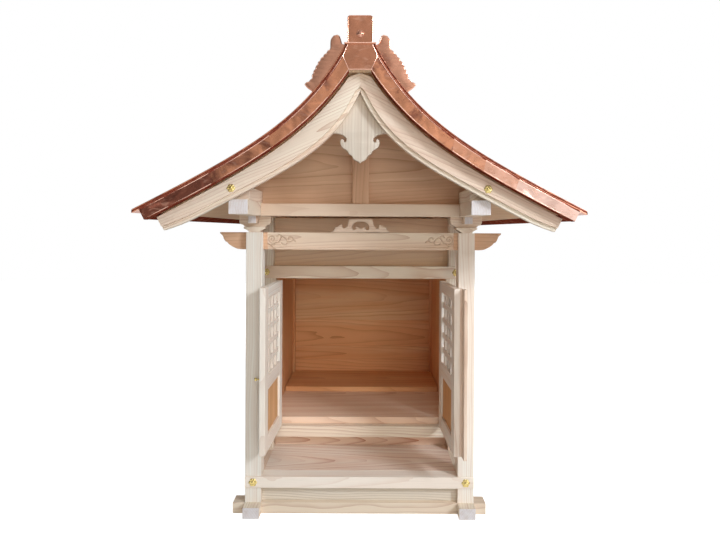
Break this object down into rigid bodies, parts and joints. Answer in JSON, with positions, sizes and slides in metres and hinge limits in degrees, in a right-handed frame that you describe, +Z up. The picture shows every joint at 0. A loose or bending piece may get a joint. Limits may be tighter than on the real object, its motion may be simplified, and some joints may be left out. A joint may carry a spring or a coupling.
{
  "type": "jizo shrine",
  "caption": "Small gabled wooden roadside shrine with a swept copper roof, an open porch, a raised inner floor and hinged lattice doors.",
  "frame": {"origin": "middle of the building's footprint, on the ground", "axes": "+X to the right seen from the front, +Y from the front to the back, +Z up"},
  "size_m": [0.955, 1.181, 1.1471],
  "materials": {
    "cypress": "planed pale cypress, bare",
    "cypress_warm": "planed thin cypress boards, warmer tone, bare",
    "copper": "bright new copper sheet",
    "brass": "polished yellow brass"
  },
  "bodies": {
    "building": {"side_sills": "cypress", "end_sills": "cypress", "front_posts": "cypress", "door_posts": "cypress", "back_posts": "cypress", "end_rails": "cypress", "side_rails": "cypress", "skirt_boards": "cypress", "porch_floor": "cypress", "porch_riser": "cypress", "door_sill": "cypress", "inner_floor": "cypress_warm", "raised_step": "cypress_warm", "left_wall": "cypress", "right_wall": "cypress", "back_wall": "cypress", "head_beams": "cypress", "lintel": "cypress", "transom_panel": "cypress_warm", "jamb_strips": "cypress", "porch_beam": "cypress", "frog_leg_strut": "cypress", "front_brackets": "cypress", "purlins": "cypress", "wall_plates": "cypress", "ridge_purlin": "cypress", "gable_beams": "cypress", "gable_struts": "cypress", "gable_panels": "cypress_warm", "front_gable_boards": "cypress", "back_gable_boards": "cypress", "gable_pendants": "cypress", "roof_boards_left": "cypress", "roof_boards_right": "cypress", "roof_copper_left": "copper", "roof_copper_right": "copper", "copper_edge_left": "copper", "copper_edge_right": "copper", "ridge_box": "copper", "ridge_ends": "copper", "ridge_fins": "copper", "brass_caps": "brass", "fixed_hinges": "brass"},
    "left_door": {"left_door_frame": "cypress", "left_door_panel": "cypress_warm", "left_door_lattice": "cypress", "left_door_brass": "brass"},
    "right_door": {"right_door_frame": "cypress", "right_door_panel": "cypress_warm", "right_door_lattice": "cypress", "right_door_brass": "brass", "cover_strip": "cypress"}
  },
  "joints": [
    {"name": "left_door_hinge", "type": "hinge", "parent": "building", "child": "left_door", "pos_m": [-0.233, -0.1825, 0.36], "axis": [0, 0, 1], "range_deg": [0, 92]},
    {"name": "right_door_hinge", "type": "hinge", "parent": "building", "child": "right_door", "pos_m": [0.233, -0.1825, 0.36], "axis": [0, 0, -1], "range_deg": [0, 92]}
  ]
}
